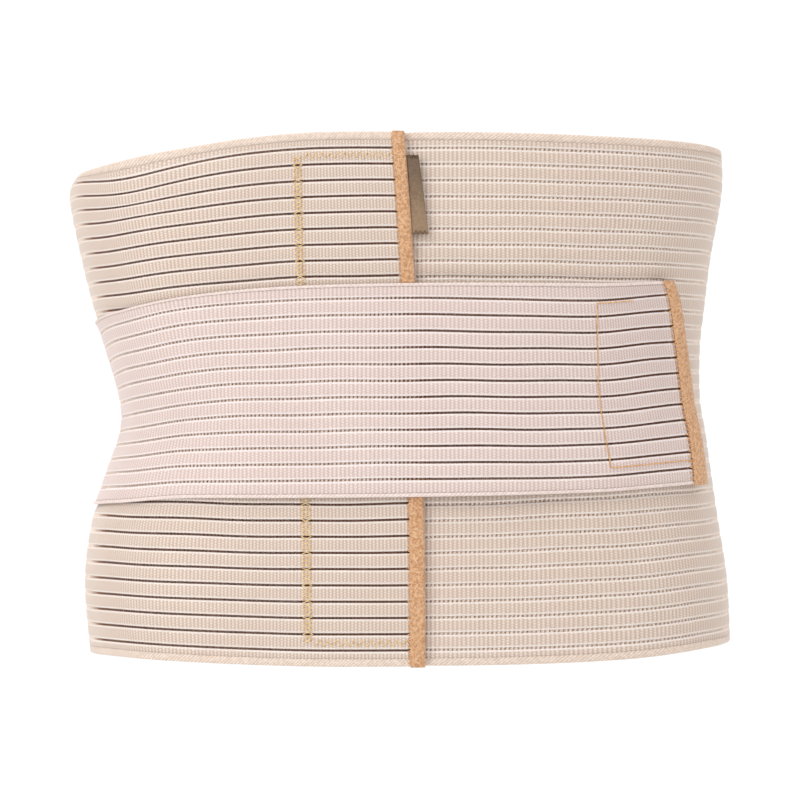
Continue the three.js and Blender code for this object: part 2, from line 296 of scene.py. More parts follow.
def tube(sides, lengths):
    """Upright tube with closed ends, cut into lengths of one unit that start at height 0."""
    bm = bmesh.new()
    middle = Matrix.Translation((0, 0, lengths / 2))
    bmesh.ops.create_cone(
        bm, cap_ends=True, segments=sides, radius1=1, radius2=1, depth=lengths, matrix=middle
    )
    upright = [e for e in bm.edges if abs(e.verts[0].co.z - e.verts[1].co.z) > 0.5]
    bmesh.ops.subdivide_edges(bm, edges=upright, cuts=lengths - 1, use_grid_fill=True)
    return bm


def flat_mesh(bm, shape):
    """Turns a bmesh into a flat piece of cloth. The shape says where each of its vertices goes."""
    mesh = bpy.data.meshes.new("flat")
    bm.to_mesh(mesh)
    mesh.vertices.foreach_set("co", shape(read_vertices(mesh)).ravel())
    bm.clear()
    bm.from_mesh(mesh)
    bmesh.ops.recalc_face_normals(bm, faces=bm.faces)
    bm.to_mesh(mesh)
    bm.free()
    return mesh


def count_off(layer, flat):
    """Ribs along and strips up, for points of the flat cloth."""
    along = np.interp(flat[:, 0], layer["runs"], layer["ribs"])
    return np.stack([along, flat[:, 1] * layer["strips"] / layer["height"]], axis=1)


def lay_copies(name, layer, mesh, moves, material, unit=None):
    """One object of copies of a flat mesh, each moved over the cloth and laid on the waist. The UV map
    counts ribs and strips, or else lengths of its unit."""
    flat = read_vertices(mesh)
    corners = np.empty(len(mesh.loops), int)
    mesh.loops.foreach_get("vertex_index", corners)
    whole = bmesh.new()
    for move in moves:
        copy = mesh.copy()
        moved = move(flat)
        copy.vertices.foreach_set("co", lay(layer, moved).ravel())
        marks = copy.uv_layers.new(name="cloth")
        counted = count_off(layer, moved) if unit is None else moved[:, :2] / unit
        marks.data.foreach_set("uv", counted[corners].ravel())
        whole.from_mesh(copy)
        bpy.data.meshes.remove(copy)
    joined = bpy.data.meshes.new(name)
    whole.to_mesh(joined)
    whole.free()
    bpy.data.meshes.remove(mesh)
    joined.polygons.foreach_set("use_smooth", np.ones(len(joined.polygons), bool))
    joined.materials.append(material)
    piece = bpy.data.objects.new(name, joined)
    bpy.context.scene.collection.objects.link(piece)
    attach(piece, "root")
    return piece


def ribbed_strip(layer):
    """Flat strip with a ridge at each rib. It is a six-sided tube: a flat back, and a front between two
    lower edges."""
    height = layer["height"] / layer["strips"] - strip_gap
    up = np.array([0.99, 0.80, -0.80, -0.99, -0.90, 0.90]) * height / 2
    out = np.array([0.72, 1.00, 1.00, 0.72, 0.00, 0.00]) * cloth_thickness
    groove = np.array([0, -0.30, -0.30, 0, 0.14, 0.14]) * cloth_thickness

    def shape(vertices):
        corner = corner_of(vertices, 6)
        column = np.rint(vertices[:, 2])
        low = column % 2
        along = np.interp(column / 2, layer["ribs"], layer["runs"])
        return np.stack([along, up[corner], out[corner] + low * groove[corner]], axis=1)

    return flat_mesh(tube(6, 2 * layer["rib_count"]), shape)


def strip_moves(layer, first, last):
    """Moves that put a strip of full height at each place from first to last. An outermost one is lower,
    to leave room for the selvedge, and meets it."""
    pitch = layer["height"] / layer["strips"]
    tucked = 0.96 * layer["selvedge"]
    moves = []
    for i in range(first, last):
        top = -i * pitch - strip_gap / 2
        bottom = top - pitch + strip_gap
        if i == 0:
            top = -tucked
        if i == layer["strips"] - 1:
            bottom = tucked - layer["height"]
        size = np.array([1, (top - bottom) / (pitch - strip_gap), 1])
        shift = np.array([0, (top + bottom) / 2, 0])
        moves.append(lambda flat, size=size, shift=shift: flat * size + shift)
    return moves


def add_node(tree, kind, feeds=None, **settings):
    """Adds a node, makes its settings, and feeds its inputs from values or from other nodes' outputs."""
    made = tree.nodes.new(kind)
    for key, value in settings.items():
        setattr(made, key, value)
    for key, feed in (feeds or {}).items():
        if isinstance(feed, bpy.types.NodeSocket):
            tree.links.new(feed, made.inputs[key])
        else:
            made.inputs[key].default_value = feed
    return made


def sum_up(tree, operation, *feeds):
    """One step of arithmetic on values."""
    return add_node(tree, "ShaderNodeMath", dict(enumerate(feeds)), operation=operation).outputs[0]


def mixed(tree, share, first, second):
    """Mix of two colours."""
    made = add_node(tree, "ShaderNodeMix", {0: share, 6: first, 7: second}, data_type="RGBA")
    return made.outputs[2]


def spread(tree, value, low, high, to_low=0.0, to_high=1.0):
    """A value taken from one range to another, with soft ends."""
    feeds = {0: value, 1: low, 2: high, 3: to_low, 4: to_high}
    return add_node(tree, "ShaderNodeMapRange", feeds, interpolation_type="SMOOTHSTEP").outputs[0]


def wave(tree, value, shape="COSINE"):
    """A wave between 0 and 1, one for each whole step of the value."""
    swing = sum_up(tree, shape, sum_up(tree, "MULTIPLY", value, math.tau))
    return sum_up(tree, "MULTIPLY_ADD", swing, 0.5, 0.5)


def cloth_place(tree):
    """Place along and up the flat cloth, from the piece's own UV map."""
    marks = add_node(tree, "ShaderNodeUVMap", uv_map="cloth").outputs[0]
    split = add_node(tree, "ShaderNodeSeparateXYZ", {0: marks}).outputs
    return split[0], split[1]


def new_group(name, inputs, outputs):
    """Empty node group with colour or value sockets."""
    kinds = {"colour": "NodeSocketColor", "value": "NodeSocketFloat"}
    group = bpy.data.node_groups.new(name, "ShaderNodeTree")
    for socket, kind in inputs.items():
        group.interface.new_socket(socket, in_out="INPUT", socket_type=kinds[kind])
    for socket, kind in outputs.items():
        group.interface.new_socket(socket, in_out="OUTPUT", socket_type=kinds[kind])
    return group, group.nodes.new("NodeGroupInput").outputs, group.nodes.new("NodeGroupOutput").inputs


def colour(red, green, blue):
    """Linear colour for screen values from 0 to 255."""
    linear = [((c / 255 + 0.055) / 1.055) ** 2.4 for c in (red, green, blue)]
    return (*linear, 1)


# Fibres: fine lint and slow changes of shade that any of the yarns has
fibre, given, out = new_group(
    "fibre", {"Fineness": "value"}, {"Fuzz": "value", "Cloud": "value", "Speck": "value"}
)
place = add_node(fibre, "ShaderNodeTexCoord").outputs["Object"]
fuzz = add_node(fibre, "ShaderNodeTexNoise", {"Vector": place, "Scale": given["Fineness"], "Detail": 3})
cloud = add_node(fibre, "ShaderNodeTexNoise", {"Vector": place, "Scale": 22, "Detail": 2})
speck = add_node(fibre, "ShaderNodeTexNoise", {"Vector": place, "Scale": 700, "Detail": 1})
fibre.links.new(fuzz.outputs["Fac"], out["Fuzz"])
fibre.links.new(cloud.outputs["Fac"], out["Cloud"])
fibre.links.new(spread(fibre, speck.outputs["Fac"], 0.35, 0.65), out["Speck"])


def lint_on(tree, fineness):
    """Fibre effect placed in another group, at its own fineness."""
    placed = add_node(tree, "ShaderNodeGroup", {}, node_tree=fibre)
    placed.inputs["Fineness"].default_value = fineness
    return placed.outputs


# Weave of the elastic: upright ribs, crossed by rows of small knots, with a painted highlight on the edges of
# each strip and painted shade in the hollows between the ribs and at the knots
weave, given, out = new_group(
    "ribbed weave",
    {"Rib": "colour", "Between": "colour", "Edge highlight": "colour"},
    {"Color": "colour", "Height": "value"},
)
along, up = cloth_place(weave)
crest = wave(weave, along)
rib_number = sum_up(weave, "FLOOR", sum_up(weave, "ADD", along, 0.5))
rows_of_knots = 6
knot_place = sum_up(weave, "MULTIPLY_ADD", up, rows_of_knots, sum_up(weave, "MULTIPLY", rib_number, 0.5))
knot = wave(weave, knot_place)
across = sum_up(weave, "FRACT", up)
off_middle = sum_up(weave, "ABSOLUTE", sum_up(weave, "SUBTRACT", across, 0.5))
# Painted highlight: near both edges of each strip the colour is mixed towards the lighter edge colour
edge = spread(weave, sum_up(weave, "MULTIPLY", off_middle, 2), 0.56, 0.74)
lint = lint_on(weave, 1500)
inside_edge = sum_up(weave, "SUBTRACT", 1, edge)
# Painted shade: the hollows between the ribs, and a little more at the knots, are mixed towards the Between
# colour
hollow = sum_up(weave, "MULTIPLY", sum_up(weave, "SUBTRACT", 1, crest), inside_edge)
dim = sum_up(weave, "MULTIPLY", sum_up(weave, "MULTIPLY_ADD", knot, 0.35, 0.10), inside_edge)
shade = sum_up(weave, "MULTIPLY_ADD", hollow, 0.58, dim)
body = mixed(weave, shade, given["Rib"], given["Between"])
body = mixed(weave, sum_up(weave, "MULTIPLY", edge, 0.75), body, given["Edge highlight"])
cloudy = spread(weave, lint["Cloud"], 0.3, 0.7, 0.0, 0.10)
body = mixed(weave, cloudy, body, given["Between"])
weave.links.new(body, out["Color"])
slanting = sum_up(weave, "MULTIPLY_ADD", up, 17, along)
thread = sum_up(weave, "SINE", sum_up(weave, "MULTIPLY", slanting, math.tau))
relief = sum_up(weave, "MULTIPLY_ADD", thread, 0.12, sum_up(weave, "MULTIPLY", crest, 0.3))
relief = sum_up(weave, "MULTIPLY_ADD", knot, -0.25, relief)
relief = sum_up(weave, "MULTIPLY_ADD", lint["Fuzz"], 0.5, relief)
weave.links.new(relief, out["Height"])


relief_height = 0.0003


def cloth_material(name, group, settings, roughness, sheen, bump):
    """Material whose colour and relief come from a node group."""
    material = bpy.data.materials.new(name)
    material.use_nodes = True
    tree = material.node_tree
    look = add_node(tree, "ShaderNodeGroup", {}, node_tree=group)
    for key, value in settings.items():
        look.inputs[key].default_value = value
    feeds = {"Height": look.outputs["Height"], "Strength": bump, "Distance": relief_height}
    relief = add_node(tree, "ShaderNodeBump", feeds)
    shader = tree.nodes["Principled BSDF"]
    tree.links.new(look.outputs["Color"], shader.inputs["Base Color"])
    tree.links.new(relief.outputs["Normal"], shader.inputs["Normal"])
    shader.inputs["Roughness"].default_value = roughness
    shader.inputs["Sheen Weight"].default_value = sheen
    shader.inputs["Sheen Roughness"].default_value = 0.5
    shader.inputs["Specular IOR Level"].default_value = 0.3
    return material


elastic_finish = {"roughness": 0.85, "sheen": 0.15, "bump": 0.5}
# Edge colour: painted highlight on the strips' edges. Between: painted shade in the hollows, also used for a
# faint random cloud
belt_elastic = cloth_material(
    "belt_elastic",
    weave,
    {
        "Rib": colour(231, 219, 210),
        "Between": colour(190, 164, 144),
        "Edge highlight": colour(235, 224, 216),
    },
    **elastic_finish,
)
belt_pitch = belt_height / belt_strips
third = belt_strips // 3
belt_thirds = {"belt_strips_upper": 0, "belt_strips_middle": third, "belt_strips_lower": 2 * third}
belt_pieces = []
for name, first in belt_thirds.items():
    moves = strip_moves(belt, first, first + third)
    piece = lay_copies(name, belt, ribbed_strip(belt), moves, belt_elastic)
    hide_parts("main_belt")
    belt_pieces.append(piece)

# Threads across the belt's gaps
# The weft runs on from strip to strip, so a flat bundle of its threads crosses each gap at each rib. The
# bundles hold the strips together and are all that closes the gaps. Towards the free end they are drawn thin.

# Radius of a full bundle as a share of the rib pitch, at which neighbours just meet, and of a thin one
full_bundle = 0.572
thin_bundle = 0.00032
full_depth = 0.00030
thin_depth = 0.00018


def row_of_threads(layer, reach, thin_from, thin_at):
    """Flat row of three-sided upright bundles, one at each rib. They thin from one turn to the other. At
    the wearer's sides they lie nearer to the outer face."""
    numbers = np.arange(1, layer["rib_count"])
    places = np.interp(numbers, layer["ribs"], layer["runs"])
    turns = np.interp(places, layer["runs"], layer["turns"])
    thinning = ease(turns, thin_from, thin_at)
    at_side = ease(np.abs(np.sin(np.radians(turns))), 0.80, 0.97)
    widths = full_bundle * layer["rib_pitch"](turns) * (1 - thinning) + thin_bundle * thinning
    depths = full_depth + (thin_depth - full_depth) * thinning
    levels = cloth_thickness * (0.36 + 0.32 * at_side)
    bm = bmesh.new()
    lying = Matrix.Rotation(math.radians(90), 4, "X")
    for place, width, depth, level in zip(places, widths, depths, levels):
        size = Matrix.Diagonal((width, reach, depth, 1))
        middle = Matrix.Translation((place, 0, level))
        bmesh.ops.create_cone(
            bm, cap_ends=False, segments=3, radius1=1, radius2=1, depth=1, matrix=middle @ size @ lying
        )
    mesh = bpy.data.meshes.new("threads")
    bm.to_mesh(mesh)
    bm.free()
    return mesh


def gap_moves(layer):
    """Moves that put a row at each gap."""
    pitch = layer["height"] / layer["strips"]
    drops = [i * pitch for i in range(1, layer["strips"])]
    return [lambda flat, drop=drop: flat - np.array([0, drop, 0]) for drop in drops]


# Yarn: plain spun thread with darker flecks
yarn, given, out = new_group(
    "yarn", {"Light": "colour", "Dark": "colour"}, {"Color": "colour", "Height": "value"}
)
lint = lint_on(yarn, 2600)
fleck = sum_up(yarn, "MULTIPLY", lint["Speck"], 0.6)
yarn.links.new(mixed(yarn, fleck, given["Light"], given["Dark"]), out["Color"])
yarn.links.new(lint["Fuzz"], out["Height"])

# Weft of the gaps: spun yarn that is painted dark brown from the rib on where it is drawn thin, as the shade
# in the gaps
weft, given, out = new_group(
    "weft",
    {"Light": "colour", "Dark": "colour", "Gap shade": "colour", "Thin": "value"},
    {"Color": "colour", "Height": "value"},
)
along = cloth_place(weft)[0]
spun = add_node(weft, "ShaderNodeGroup", {}, node_tree=yarn)
weft.links.new(given["Light"], spun.inputs["Light"])
weft.links.new(given["Dark"], spun.inputs["Dark"])
# Painted shade: past the rib where it is drawn thin, the weft is mixed towards a dark brown that stands for
# the shade in the gaps
past_rib = sum_up(weft, "SUBTRACT", along, given["Thin"])
drawn = spread(weft, past_rib, -6, 6, 0.0, 0.9)
weft.links.new(mixed(weft, drawn, spun.outputs["Color"], given["Gap shade"]), out["Color"])
weft.links.new(spun.outputs["Height"], out["Height"])


def weft_material(name, layer, thin_turn, light, dark):
    """Weft that is thin from a turn on, and painted dark brown there as the shade in the gaps."""
    along = np.interp(thin_turn, layer["turns"], layer["runs"])
    settings = {
        "Light": light,
        "Dark": dark,
        # Dark brown painted shade for the thin weft
        "Gap shade": colour(146, 88, 60),
        "Thin": float(np.interp(along, layer["runs"], layer["ribs"])),
    }
    return cloth_material(name, weft, settings, roughness=0.8, sheen=0.1, bump=0.3)


thread_reach = strip_gap + 0.0008
threads = row_of_threads(belt, thread_reach, 282, 300)
belt_weft = weft_material("belt_weft", belt, 292, colour(234, 216, 202), colour(206, 184, 168))
belt_threads = lay_copies("belt_gap_threads", belt, threads, gap_moves(belt), belt_weft)

# Selvedges
# The outermost strips end in a plain twill edge at the top and at the bottom, level with their ribs. It is
# woven in one with them, from the same yarn.
edge_step = 0.002


def plain_edge(layer):
    """Flat plain edge, an eight-sided tube."""
    lengths = round(layer["length"] / edge_step)
    step = (layer["length"] - 2 * hem) / lengths
    up = np.array([0.42, 0.50, 0.42, 0.00, -0.50, -0.50, -0.10, 0.25]) * layer["selvedge"]
    out = np.array([0.88, 0.46, 0.06, 0.00, 0.06, 0.94, 1.00, 0.99]) * cloth_thickness

    def shape(vertices):
        corner = corner_of(vertices, 8)
        return np.stack([hem + np.rint(vertices[:, 2]) * step, up[corner], out[corner]], axis=1)

    return flat_mesh(tube(8, lengths), shape)


def edge_moves(layer):
    """Moves that put the edge at the top, and upside down at the bottom."""
    half = layer["selvedge"] / 2
    return [
        lambda flat: flat - np.array([0, half, 0]),
        lambda flat: flat * np.array([1, -1, 1]) - np.array([0, layer["height"] - half, 0]),
    ]


# Twill: fine slanting lines
twill, given, out = new_group(
    "twill", {"Light": "colour", "Dark": "colour"}, {"Color": "colour", "Height": "value"}
)
along, up = cloth_place(twill)
line = wave(twill, sum_up(twill, "MULTIPLY_ADD", up, -5, along), "SINE")
lint = lint_on(twill, 1800)
streak = sum_up(twill, "MULTIPLY_ADD", line, 0.6, sum_up(twill, "MULTIPLY", lint["Speck"], 0.3))
twill.links.new(mixed(twill, streak, given["Light"], given["Dark"]), out["Color"])
twill.links.new(sum_up(twill, "MULTIPLY_ADD", line, -0.5, lint["Fuzz"]), out["Height"])

belt_selvedge = cloth_material(
    "belt_selvedge",
    twill,
    {"Light": colour(230, 215, 203), "Dark": colour(196, 170, 150)},
    **elastic_finish,
)
edges = lay_copies("belt_selvedges", belt, plain_edge(belt), edge_moves(belt), belt_selvedge)

# Tension band
# A narrower length of the same open elastic, dyed a little pinker, is sewn to the belt at the centre back. It
# comes round the wearer's right side over the flap and pulls the belt tight across the front.
band_height = 0.0916
band_strips = 13
snug_gap = 0.0006

# Turn, then the height of the top edge, of the first and last gap and of the bottom edge, as shares of the
# band's height
band_course = np.array([
    [179, 0.470, 0.395, -0.390, -0.470],
    [235, 0.420, 0.350, -0.410, -0.490],
    [275, 0.340, 0.280, -0.480, -0.565],
    [300, 0.383, 0.322, -0.467, -0.548],
    [320, 0.441, 0.382, -0.437, -0.515],
    [340, 0.484, 0.418, -0.427, -0.507],
    [362, 0.500, 0.430, -0.416, -0.500],
    [395, 0.507, 0.424, -0.410, -0.484],
    [409, 0.522, 0.455, -0.388, -0.466],
    [424, 0.540, 0.484, -0.372, -0.452],
])


def band_lift(turn):
    """How far the band's inner face stands off the waist, over one or two layers of the belt."""
    over_flap = belt_lift(turn) * (1 - ease(turn, 374, 404))
    tight = ease(turn, 195, 225) - ease(turn, 308, 340)
    return over_flap + cloth_thickness + lapped_gap + (snug_gap - lapped_gap) * tight


band = {
    "height": band_height,
    "middle": 0.0043,
    "strips": band_strips,
    "course": band_course,
    "upper_share": 1 / band_strips,
    "lower_share": 1 - 1 / band_strips,
    "lift": band_lift,
    "curl": lambda turn, drop: 0,
    "sag": lambda turn, drop: 0,
    "rib_pitch": lambda turn: 0.00180 - 0.00042 * ease(turn, 392, 400),
    "selvedge": 0.0015,
    "start": (179.2, 179.2),
    "end": (412.3, 423.0),
    "slant_from": 375,
    "bow": 3.5,
    "flare": 0.0026,
}
measure(band)
# Edge colour: painted highlight on the strips' edges. Between: painted shade in the hollows, also used for a
# faint random cloud
band_elastic = cloth_material(
    "band_elastic",
    weave,
    {
        "Rib": colour(234, 220, 216),
        "Between": colour(198, 174, 164),
        "Edge highlight": colour(239, 228, 224),
    },
    **elastic_finish,
)
band_pitch = band_height / band_strips
moves = strip_moves(band, 0, band_strips)
band_piece = lay_copies("band_strips", band, ribbed_strip(band), moves, band_elastic)
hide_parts("tension_band")
threads = row_of_threads(band, thread_reach, 352, 371)
band_weft = weft_material("band_weft", band, 362, colour(220, 201, 189), colour(186, 162, 147))
band_threads = lay_copies("band_gap_threads", band, threads, gap_moves(band), band_weft)
band_selvedge = cloth_material(
    "band_selvedge",
    twill,
    {"Light": colour(234, 221, 216), "Dark": colour(206, 184, 173)},
    **elastic_finish,
)
band_edges = lay_copies("band_selvedges", band, plain_edge(band), edge_moves(band), band_selvedge)

# Bindings
# Each cut end is wrapped in a soft brushed tape, folded over the edge and sewn through both of its leaves.
# The tape follows the strips under it, so its leaves rise a little over each strip.
tape_width = 0.0059
tape_overhang = 0.0003
tape_step = 0.0007
band_tape_widening = 0.20

# Outline of the folded tape, clockwise from its outer leaf's raw edge: millimetres in from the fold, and
# out from the middle of the cloth
tape_outline = np.array([
    [5.60, 1.22], [5.35, 1.55], [4.20, 1.78], [2.80, 1.90], [1.30, 1.80], [0.30, 1.25], [0.00, 0.00],
    [0.30, -1.25], [1.30, -1.80], [2.80, -1.90], [4.20, -1.78], [5.35, -1.55], [5.60, -1.22],
    [5.45, -1.00], [3.50, -1.00], [1.10, -1.00], [0.75, 0.00], [1.10, 1.00], [3.50, 1.00], [5.45, 1.00],
])


def widened(share, widening):
    """Width of a tape at a share of the way down, in usual widths. It may get wider downwards."""
    return 1 + widening * (0.6 + share)


def folded_tape(layer, side, widening):
    """Flat folded tape as tall as the layer. The side is +1 where the layer runs out, -1 where it begins."""
    lengths = round(layer["height"] / tape_step)
    step = (layer["height"] + 2 * tape_overhang) / lengths
    pitch = layer["height"] / layer["strips"]
    inwards, outwards = tape_outline.T / 1000
    inwards = inwards * tape_width / inwards.max()

    def shape(vertices):
        corner = corner_of(vertices, len(tape_outline))
        up = tape_overhang - np.rint(vertices[:, 2]) * step
        reach = inwards[corner] * widened(-up / layer["height"], widening)
        along = layer["length"] - reach if side > 0 else reach
        rise = 0.00010 * np.cos(np.pi + math.tau * up / pitch) + 0.00005 * np.sin(up * 2900 + along * 1500)
        out = cloth_thickness / 2 + outwards[corner] + rise * np.sign(outwards[corner])
        return np.stack([along, up, out], axis=1)

    return flat_mesh(tube(len(tape_outline), lengths), shape)


# Brushed tape: zigzag rows under a soft nap
brushed, given, out = new_group(
    "brushed tape",
    {"Light": "colour", "Body": "colour", "Dark": "colour"},
    {"Color": "colour", "Height": "value"},
)
along, up = cloth_place(brushed)
lint = lint_on(brushed, 1100)
zig = sum_up(brushed, "PINGPONG", along, 0.6)
line = wave(brushed, sum_up(brushed, "MULTIPLY_ADD", up, 10, sum_up(brushed, "MULTIPLY", zig, 2.2)), "SINE")
tone = mixed(brushed, sum_up(brushed, "MULTIPLY", line, 0.35), given["Body"], given["Dark"])
tone = mixed(brushed, sum_up(brushed, "MULTIPLY", lint["Speck"], 0.5), tone, given["Light"])
tone = mixed(brushed, spread(brushed, lint["Fuzz"], 0.45, 0.65, 0.0, 0.6), tone, given["Dark"])
brushed.links.new(tone, out["Color"])
nap = sum_up(brushed, "MULTIPLY_ADD", lint["Speck"], 0.6, lint["Fuzz"])
brushed.links.new(sum_up(brushed, "MULTIPLY_ADD", line, -0.4, nap), out["Height"])

binding_tape = cloth_material(
    "binding_tape",
    brushed,
    {"Light": colour(232, 196, 160), "Body": colour(212, 164, 122), "Dark": colour(160, 106, 66)},
    roughness=0.9,
    sheen=0.25,
    bump=0.8,
)

# Size of one zigzag of the tape's weave, and the way round the cut end in a fold
tape_unit = np.array([0.0015, 0.007])
binding_places = {
    "flap_binding": (belt, 1, 0),
    "inner_end_binding": (belt, -1, 0),
    "band_binding": (band, 1, band_tape_widening),
    "band_root_binding": (band, -1, 0),
}
still = [lambda flat: flat]
for name, (layer, side, widening) in binding_places.items():
    tape = folded_tape(layer, side, widening)
    piece = lay_copies(name + "_tape", layer, tape, still, binding_tape, tape_unit)
    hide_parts(name)
    bound = belt_pieces if layer is belt else [band_piece]

# Hook panels
# A strip of hook tape is sewn behind each free end, from the second strip to the last but one. It grips the
# loops of the cloth that it is pressed on. Only its woven back shows, behind the gaps, coloured dark brown as
# painted shade there.
panel_clearance = 0.0003
panel_thickness = 0.0010
panel_cells = 40


def hook_panel(layer, width, bound):
    """Flat panel behind the layer's free end, next to the part that is bound."""
    edge = layer["length"] - bound - panel_clearance
    pitch = layer["height"] / layer["strips"]
    bm = bmesh.new()
    bmesh.ops.create_grid(bm, x_segments=panel_cells, y_segments=panel_cells, size=0.5)
    bmesh.ops.solidify(bm, geom=bm.faces[:], thickness=1)

    def shape(vertices):
        x, y, z = vertices.T
        z = (z - z.min()) / (z.max() - z.min())
        along = edge - width * (0.5 - x)
        up = -layer["height"] / 2 + y * (layer["height"] - 2 * pitch)
        return np.stack([along, up, -panel_clearance - panel_thickness * (1 - z)], axis=1)

    return flat_mesh(bm, shape)


# Painted shade: the panel's back is given a dark brown that stands for the shade behind the gaps
hook_back_painted_shade = cloth_material(
    "hook_panel",
    twill,
    {"Light": colour(156, 130, 110), "Dark": colour(100, 78, 62)},
    roughness=0.8,
    sheen=0.1,
    bump=0.6,
)
panels = {
    "flap_hook_panel": (belt, 0.0440, tape_width),
    "band_hook_panel": (band, 0.0360, tape_width * widened(1, band_tape_widening)),
}
for name, (layer, width, bound) in panels.items():
    panel = hook_panel(layer, width, bound)
    piece = lay_copies(name + "_tape", layer, panel, still, hook_back_painted_shade, tape_unit)
    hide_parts(name)

# Stitching
# The bindings are sewn with a small zigzag over their raw edges. The flap's panel has a crossed zigzag in
# yellow thread on its far side and a plain one above and below, and the band's panel a single orange line.
stitch_sides = 5
stitch_lengths = 4


def sewn(name, layer, legs, radius, material, unit, outwards=1):
    """One object of short stitches. Each leg is a start and an end on the flat cloth, where the thread dips
    in. Outwards is -1 on the inner face."""
    legs = np.array(legs)
    bm = bmesh.new()
    for k in range(len(legs)):
        middle = Matrix.Translation((0, 0, 2 * k + 0.5))
        bmesh.ops.create_cone(
            bm, cap_ends=True, segments=stitch_sides, radius1=1, radius2=1, depth=1, matrix=middle
        )
    upright = [e for e in bm.edges if abs(e.verts[0].co.z - e.verts[1].co.z) > 0.5]
    bmesh.ops.subdivide_edges(bm, edges=upright, cuts=stitch_lengths - 1, use_grid_fill=True)

    def shape(vertices):
        x, y, z = vertices.T
        leg = np.floor(z / 2 + 0.01).astype(int)
        t = z - 2 * leg
        start, end = legs[leg, :3], legs[leg, 3:]
        run = (end - start)[:, :2]
        aside = np.stack([-run[:, 1], run[:, 0]], axis=1) / np.linalg.norm(run, axis=1)[:, None]
        point = start + (end - start) * t[:, None]
        point[:, :2] += aside * (x * radius)[:, None]
        point[:, 2] += y * radius + outwards * radius * (4.4 * t * (1 - t) - 0.5)
        return point

    mesh = flat_mesh(bm, shape)
    return lay_copies(name, layer, mesh, still, material, unit)


def zigzag(start, end, half_width, pitch, phase=1, depths=(cloth_thickness, cloth_thickness)):
    """Legs of a zigzag along a line on the flat cloth. The depths are those of its two sides. The phase is
    -1 to start on the other side."""
    start, end = np.array(start), np.array(end)
    run = end - start
    length = np.linalg.norm(run)
    count = max(round(length / pitch), 1)
    aside = np.array([-run[1], run[0]]) / length
    legs = []
    for k in range(count):
        sign = phase if k % 2 else -phase
        first = start + run * k / count + aside * half_width * sign
        second = start + run * (k + 1) / count - aside * half_width * sign
        first_depth, second_depth = (depths[0], depths[1]) if sign > 0 else (depths[1], depths[0])
        legs.append((*first, first_depth, *second, second_depth))
    return legs


def thread_material(name, light, dark):
    """Smooth sewing thread."""
    return cloth_material(name, yarn, {"Light": light, "Dark": dark}, roughness=0.5, sheen=0.1, bump=0.3)


tan_thread = thread_material("tan_thread", colour(232, 184, 136), colour(196, 138, 90))
yellow_thread = thread_material("yellow_thread", colour(240, 210, 160), colour(206, 162, 104))
orange_thread = thread_material("orange_thread", colour(230, 180, 118), colour(196, 132, 70))
thread_radius = 0.00019

# Depths of the seams on the outer and inner face of the cloth and of the tape over it
cloth_top = cloth_thickness
tape_top = cloth_thickness / 2 + 0.00165
seam_sides = {
    "_stitches": (1, tape_top, cloth_top),
    "_inner_stitches": (-1, cloth_thickness - tape_top, 0),
}
seam_margin = 0.0004
for name, (layer, side, widening) in binding_places.items():
    top_width, bottom_width = tape_width * widened(np.array([0, 1]), widening)
    top_x = layer["length"] - top_width if side > 0 else top_width
    bottom_x = layer["length"] - bottom_width if side > 0 else bottom_width
    ends = (top_x, -seam_margin), (bottom_x, seam_margin - layer["height"])
    for ending, (outwards, on_tape, on_cloth) in seam_sides.items():
        depths = (on_tape, on_cloth) if side > 0 else (on_cloth, on_tape)
        legs = zigzag(*ends, half_width=0.0010, pitch=0.0012, depths=depths)
        piece = sewn(name + ending, layer, legs, thread_radius, tan_thread, tape_unit, outwards)

# The flap's panel: down its far side, and along the second strip and the last but one up to the tape
flap_seam_turns = (343.0, 344.3)
flap_x, flap_low_x = np.interp(flap_seam_turns, belt["turns"], belt["runs"])
tape_x = belt["length"] - tape_width
corner_room = 0.003
second_strip = -1.45 * belt_pitch
last_but_one = -(belt_strips - 1.45) * belt_pitch
side_seam = (flap_x, second_strip), (flap_low_x, last_but_one)
top_seam = (flap_x + corner_room, second_strip), (tape_x, second_strip)
bottom_seam = (flap_low_x + corner_room, last_but_one), (tape_x, last_but_one)
flap_legs = []
for phase in (1, -1):
    flap_legs += zigzag(*side_seam, half_width=0.0021, pitch=0.0019, phase=phase)
for seam in (top_seam, bottom_seam):
    flap_legs += zigzag(*seam, half_width=0.0014, pitch=0.0017)
piece = sewn("flap_panel_stitches", belt, flap_legs, thread_radius, yellow_thread, tape_unit)

# The band's panel: down its far side, a short way along its top and all the way along its bottom
band_seam_turn = 396.1
band_stitch = 0.0024
band_x = float(np.interp(band_seam_turn, band["turns"], band["runs"]))
band_row_end = band_x + 0.020
first_row = -band_pitch - 0.0011
last_row = -(band_strips - 1.5) * band_pitch


def running(start, end, length):
    """Legs of a straight line of stitches with hardly any space between."""
    start, end = np.array(start), np.array(end)
    count = round(np.linalg.norm(end - start) / length)
    legs = []
    for k in range(count):
        first = start + (end - start) * k / count
        second = start + (end - start) * (k + 0.94) / count
        legs.append((*first, cloth_top, *second, cloth_top))
    return legs


# Places along and up the flat band: the line runs upright at first and then towards the free end
band_line = np.array([
    [band_x, first_row],
    [band_x - 0.0022, -0.46 * band_height],
    [band_x - 0.0018, -0.62 * band_height],
    [band_x - 0.0003, -0.80 * band_height],
    [band_x + 0.0008, last_row],
])
band_legs = []
for start, end in zip(band_line, band_line[1:]):
    band_legs += running(start, end, band_stitch)
band_tape_x = band["length"] - 1.25 * tape_width
band_legs += running(band_line[0], (band_row_end, first_row), band_stitch)
band_legs += running(band_line[-1], (band_tape_x, last_row), band_stitch)
piece = sewn("band_panel_stitches", band, band_legs, 0.00024, orange_thread, tape_unit)

